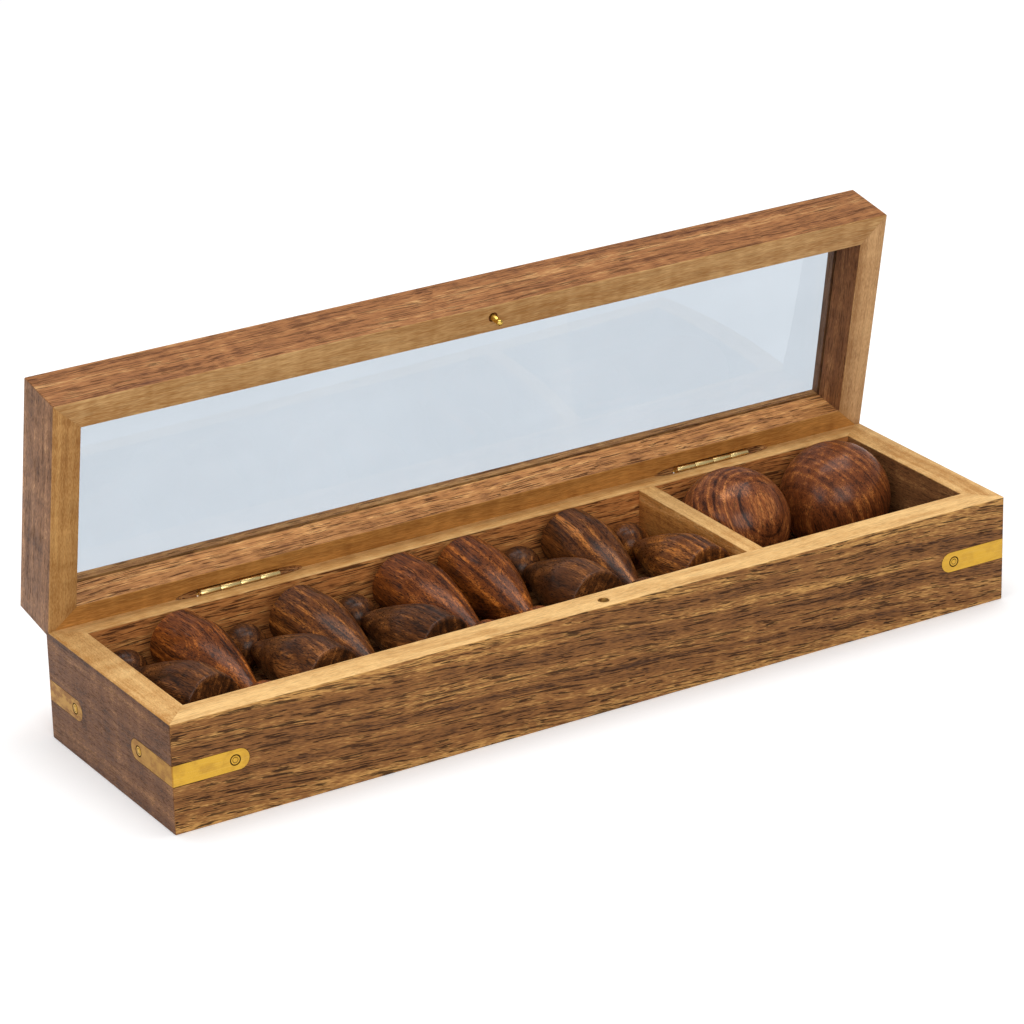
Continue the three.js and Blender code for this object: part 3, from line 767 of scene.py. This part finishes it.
peg_low, peg_high = box_of("catch_peg", True)
peg = (peg_high.x - peg_low.x) / 2
peg_tip, peg_end = peg_low.z, peg_high.z
dome = [(peg * math.sin(math.radians(a)), peg_tip + 0.9 * (1 - math.cos(math.radians(a))))
        for a in range(0, 91, 10)]
catch_peg = turned("fine_catch_peg", [
    *dome, (peg, peg_tip + 1.5), (peg - 0.1, peg_tip + 1.7), (peg - 0.1, peg_tip + 2.5),
    (peg, peg_tip + 2.7), (peg, peg_end - 0.2), (peg - 0.2, peg_end), (0, peg_end)], 56)
shifted(catch_peg, catch.x, catch.y, 0)
piece(catch_peg, "lid", "brass", brass("peg_brass", 82, 0.3, (222, 190, 92), 0.26), "catch_peg")
peg_tool = shifted(turned("tool", [
    (0, rim - 1), (peg + 0.75, rim - 1), (peg + 0.6, rim + 0.25), (peg + 0.5, rim + 0.9),
    (peg + 0.05, rim + 1.1), (peg + 0.05, peg_end + 0.1), (0, peg_end + 0.1)], 56),
    catch.x, catch.y, 0)

# ---- the wooden frames --------------------------------------------------------------------------
# Rim colours: sanded wood, painted paler also as painted light for the light the rim catches.
RIM_SANDED_AND_LIT_TONES = [(178, 124, 62), (242, 198, 132)]
CASE_LOOKS = {
    "front": dict(tones=[(62, 36, 18), (132, 86, 44), (200, 150, 84)], seed=3, pith=(-70, -45),
                  figure=0.45, dash=9, rim=RIM_SANDED_AND_LIT_TONES, sapwood=[(28, 39, 0.12), (8, 0, 0.16)], tilt=-0.07),
    # The back wall's tones are painted lighter than the other walls': painted light for its inner face,
    # which stands in shade.
    "back": dict(tones=[(100, 58, 30), (188, 120, 64), (235, 176, 104)], seed=8, pith=(60, -70),
                 figure=0.6, dash=12, rim=RIM_SANDED_AND_LIT_TONES),
    "left": dict(tones=[(62, 40, 28), (112, 74, 48), (166, 120, 78)], seed=5, grain="Y", pith=(20, -34),
                 figure=0.9, dash=3, pores=0.5, rim=RIM_SANDED_AND_LIT_TONES),
    "right": dict(tones=[(76, 46, 26), (126, 84, 50), (176, 126, 76)], seed=12, grain="Y", pith=(-20, -60),
                  figure=0.7, dash=4, pores=0.7, rim=RIM_SANDED_AND_LIT_TONES),
}
# The lid rails' rim colours are likewise partly sanded wood and partly painted light.
LID_LOOKS = {
    "front": dict(tones=[(88, 48, 26), (160, 106, 62), (210, 162, 106)], seed=21, pith=(-30, 130),
                  figure=0.6, dash=12, pores=0.8, rim=[(148, 102, 54), (210, 170, 114)]),
    "back": dict(tones=[(106, 62, 34), (182, 124, 70), (236, 182, 116)], seed=27, pith=(40, 150),
                 figure=0.7, dash=12, rim=[(146, 94, 42), (214, 154, 80)]),
    "left": dict(tones=[(66, 42, 29), (138, 98, 68), (196, 148, 106)], seed=24, grain="Y", pith=(30, 120),
                 figure=0.8, dash=4, pores=0.6, rim=[(138, 92, 46), (198, 152, 92)]),
    "right": dict(tones=[(76, 44, 26), (132, 86, 52), (176, 124, 80)], seed=29, grain="Y", pith=(-30, 110),
                  figure=0.6, dash=5, pores=0.7, rim=[(146, 102, 58), (210, 166, 114)]),
}
case_bevel, lid_bevel = bevel_tool(-1), bevel_tool(1)
for side in SIDES:
    wall = mitred_side(f"fine_case_{side}_wall", side, WALLS, CASE_PROFILE)
    tools = list(strap_tools)
    if side == "front":
        tools.append(socket_tool)
    else:
        tools.append(case_bevel)
    if side == "back":
        tools += hinge_tools + leaf_tools[-1]
    combined(wall, tools)
    piece(wall, "case", "case_wood", wood(f"case_{side}_wood", **CASE_LOOKS[side]), f"case_{side}_wall")

    rail = mitred_side(f"fine_lid_{side}_rail", side, RAILS, LID_PROFILE)
    tools = [peg_tool] if side == "front" else [lid_bevel]
    if side == "back":
        tools += hinge_tools + leaf_tools[1]
    combined(rail, tools)
    piece(rail, "lid", "case_wood", wood(f"lid_{side}_wood", **LID_LOOKS[side]), f"lid_{side}_rail")
discard(*strap_tools, *hinge_tools, *leaf_tools[-1], *leaf_tools[1], socket_tool, peg_tool,
        case_bevel, lid_bevel)

glass = block("fine_lid_glass", GLASS_LOW, GLASS_HIGH, 0.25)
piece(glass, "lid", "glass", clear_glass("float_glass"), "lid_glass")
glass.visible_shadow = False

# ---- the boards inside --------------------------------------------------------------------------
INSIDE = {
    "case_bottom_panel": dict(tones=[(104, 62, 34), (150, 100, 58), (190, 142, 90)], seed=31,
                              pith=(0, -160)),
    "pin_floor_board": dict(tones=[(104, 62, 34), (146, 96, 54), (184, 136, 84)], seed=33, pith=(20, -150)),
    "pin_floor_bearer_front": dict(tones=[(104, 62, 34), (146, 96, 54), (184, 136, 84)], seed=35),
    "pin_floor_bearer_back": dict(tones=[(104, 62, 34), (146, 96, 54), (184, 136, 84)], seed=36),
    "compartment_divider": dict(tones=[(132, 80, 36), (188, 126, 62), (220, 166, 100)], seed=37, grain="Y",
                                pith=(70, -60), pores=0.5, dash=4, rim=RIM_SANDED_AND_LIT_TONES),
}
for node, look in INSIDE.items():
    low, high = box_of(node)
    board = block(f"fine_{node}", low, high, 0.3 if node == "compartment_divider" else 0.2)
    piece(board, "case", "pale_wood", wood(f"{node}_wood", **look), node)


# ---- the pins -----------------------------------------------------------------------------------
def smooth_curve(knots, steps):
    """Points along a Catmull-Rom curve through the knots."""
    pts = [knots[0], *knots, knots[-1]]
    out = []
    for i in range(1, len(pts) - 2):
        p0, p1, p2, p3 = (Vector((*p, 0)) for p in pts[i - 1:i + 3])
        for k in range(steps):
            t = k / steps
            p = 0.5 * (2 * p1 + (p2 - p0) * t + (2 * p0 - 5 * p1 + 4 * p2 - p3) * t * t
                       + (3 * p1 - p0 - 3 * p2 + p3) * t ** 3)
            out.append((p.x, p.y))
    return [*out, tuple(knots[-1])]


def pin_profile(length):
    """From the middle of the base to the crown: a dished foot, a full belly, a neck and a ball."""
    base, neck, head = PIN["base"], PIN["neck"], PIN["head"]
    neck_at = length - head - math.sqrt(head ** 2 - neck ** 2)
    knots = [(base, 0.6), (0.35 * base + 0.65 * PIN["belly"], 0.45 * PIN["belly_at"]),
             (PIN["belly"], PIN["belly_at"]), (PIN["mid"], (PIN["belly_at"] + neck_at) / 2),
             (neck, neck_at)]
    foot = [(0, 0.28), (0.5, 0.24), (0.7, 0.12), (3, 0.1), (base - 1.4, 0.03), (base - 0.75, 0.0),
            (base - 0.3, 0.12), (base - 0.08, 0.34)]
    start = math.degrees(math.asin(neck / head))
    crown = [(head * math.sin(math.radians(a)), length - head - head * math.cos(math.radians(a)))
             for a in np.linspace(start, 180, 30)[1:-1]]
    return [*foot, *smooth_curve(knots, 12), *crown, (0, length)]


def pose_of(node):
    """Where a turned CAD pin lies: the middle of its base, the way its head points, its length."""
    co = points_of(node)
    centre = co.mean(0)
    axis = np.linalg.svd(co - centre)[2][0]
    along = (co - centre) @ axis
    off = np.linalg.norm(co - centre - np.outer(along, axis), axis=1)
    if off[along > along.max() - 1].max() > off[along < along.min() + 1].max():
        axis, along = -axis, -along
    return Vector(centre + axis * along.min()), Vector(axis), float(np.ptp(along))


PIN_TONES = {
    "plain": [(46, 23, 9), (106, 58, 22), (188, 116, 50)],
    "red": [(50, 23, 8), (118, 60, 20), (204, 118, 46)],
    "dark": [(38, 20, 9), (88, 49, 21), (158, 98, 48)],
}
PIN_LOOKS = ("dark", "red", "dark", "plain", "dark", "red", "red", "dark", "plain", "plain")
for number, kind in enumerate(PIN_LOOKS, 1):
    node = f"pin_{number:02d}"
    foot, axis, length = pose_of(node)
    body = turned(f"fine_{node}", pin_profile(length), 72, 34)
    side = axis.cross(Vector((0, 0, 1))).normalized()
    up = side.cross(axis)
    spin = random.Random(number).uniform(-40, 40)
    pose = Matrix((side, up, axis)).transposed().to_4x4()
    pose @= Matrix.Rotation(math.radians(spin), 4, "Z")
    pose.translation = foot * MM
    body.matrix_world = pose
    look = wood(f"{node}_wood", PIN_TONES[kind], "Z", 100 + number, pith=(0, -38), pores=0.95, figure=0.5,
                rough=0.42, dash=8, scale=1.2, waxed=0.22, shine=0.12, broad=1.6, growth=0.4)
    piece(body, node, "turned_wood", look, node)

# ---- the balls ----------------------------------------------------------------------------------
BALL_LOOKS = {
    "ball_1": dict(face=(0.05, -0.82, 0.57), tones=[(52, 24, 12), (130, 70, 34), (204, 128, 66)], seed=201,
                   growth=0.5, broad=1.8),
    "ball_2": dict(face=(0.9, 0.1, 0.3), tones=[(54, 26, 12), (122, 64, 30), (196, 120, 58)], seed=209,
                   growth=0.6, broad=1.3),
}
for node, look in BALL_LOOKS.items():
    low, high = box_of(node)
    centre, radius = (low + high) / 2, (high.z - low.z) / 2
    profile = [(radius * math.sin(a), -radius * math.cos(a)) for a in np.linspace(0, math.pi, 73)]
    profile[0], profile[-1] = (0, -radius), (0, radius)
    ball = turned(f"fine_{node}", profile, 128, 60)
    # The growth rings show as ovals round the way the face looks.
    face = Vector(look["face"]).normalized()
    grain = (Vector((0, 0, 1)) - face * face.z).normalized()
    across = grain.cross(face)
    pose = Matrix((face, across, grain)).transposed().to_4x4()
    pose.translation = centre * MM
    ball.matrix_world = pose
    skin = wood(f"{node}_wood", look["tones"], "Z", look["seed"], pith=(0, -70), pores=0.8, figure=0.4,
                rough=0.42, dash=6, scale=1.2, waxed=0.22, shine=0.15,
                broad=look["broad"], growth=look["growth"])
    piece(ball, node, "turned_wood", skin, node)

# ---- floor, light and camera --------------------------------------------------------------------
FLOOR_SIZE = 14.0
PAPER_SPECKS = 90.0  # to the metre
PAPER_GLOW = 0.2  # lifts the paper to the photo's near white
SKY_COLOUR, SKY_STRENGTH = (0.98, 0.98, 1.0, 1), 0.4

floor_mesh = bpy.data.meshes.new("floor")
half = FLOOR_SIZE / 2
floor_mesh.from_pydata(
    [(-half, -half, 0), (half, -half, 0), (half, half, 0), (-half, half, 0)], [], [[0, 1, 2, 3]])
floor = bpy.data.objects.new("floor", floor_mesh)
bpy.context.scene.collection.objects.link(floor)
paper = Graph("paper")
speck = paper.noise(paper.node("ShaderNodeTexCoord").outputs["Object"], PAPER_SPECKS, 3.0, 0.5)
floor_mesh.materials.append(paper.set(
    Base_Color=paper.mix(paper.step(speck, 0.3, 0.7), (0.87, 0.87, 0.87, 1), (0.88, 0.88, 0.88, 1)),
    Roughness=0.9, Normal=paper.bump(speck, 0.02, 0.1),
    Emission_Color=(1, 1, 1, 1), Emission_Strength=PAPER_GLOW))
floor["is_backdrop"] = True

world = bpy.data.worlds.new("studio")
world.use_nodes = True
world.node_tree.nodes["Background"].inputs[0].default_value = SKY_COLOUR
world.node_tree.nodes["Background"].inputs[1].default_value = SKY_STRENGTH
bpy.context.scene.world = world


def softbox(name, place, aim, size, power, colour=(1, 1, 1)):
    """A soft light that faces aim; metres and watts."""
    lamp = bpy.data.lights.new(name, "AREA")
    lamp.shape, (lamp.size, lamp.size_y) = "RECTANGLE", size
    lamp.energy, lamp.color = power, colour
    obj = bpy.data.objects.new(name, lamp)
    obj.location = place
    obj.rotation_euler = (Vector(aim) - Vector(place)).to_track_quat("-Z", "Y").to_euler()
    bpy.context.scene.collection.objects.link(obj)


softbox("overhead", (0.1, 0.25, 1.5), (0, 0, 0), (1.6, 1.1), 18)
softbox("front", (-0.35, -1.5, 0.8), (0, 0, 0.03), (1.2, 0.9), 10, (1, 0.98, 0.95))
softbox("left", (-1.5, -0.5, 0.7), (0, 0, 0.03), (0.9, 0.9), 5, (0.97, 0.98, 1))

# Where the camera stands, the directions of its right and its up, and its lens in millimetres.
CAMERA = {
    "place": (-0.7063, -1.1550, 0.6195), "right": (0.8512, -0.5244, -0.0233),
    "up": (0.2197, 0.3156, 0.9232), "lens": 154.16,
}
view = bpy.data.cameras.new("camera")
view.lens, view.sensor_width, view.clip_start, view.clip_end = CAMERA["lens"], 36, 0.05, 50
camera = bpy.data.objects.new("camera", view)
right, up = Vector(CAMERA["right"]).normalized(), Vector(CAMERA["up"]).normalized()
pose = Matrix((right, up, right.cross(up))).transposed().to_4x4()
pose.translation = CAMERA["place"]
camera.matrix_world = pose
bpy.context.scene.collection.objects.link(camera)
bpy.context.scene.camera = camera
bpy.context.scene.view_settings.view_transform = "Standard"

low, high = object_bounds()
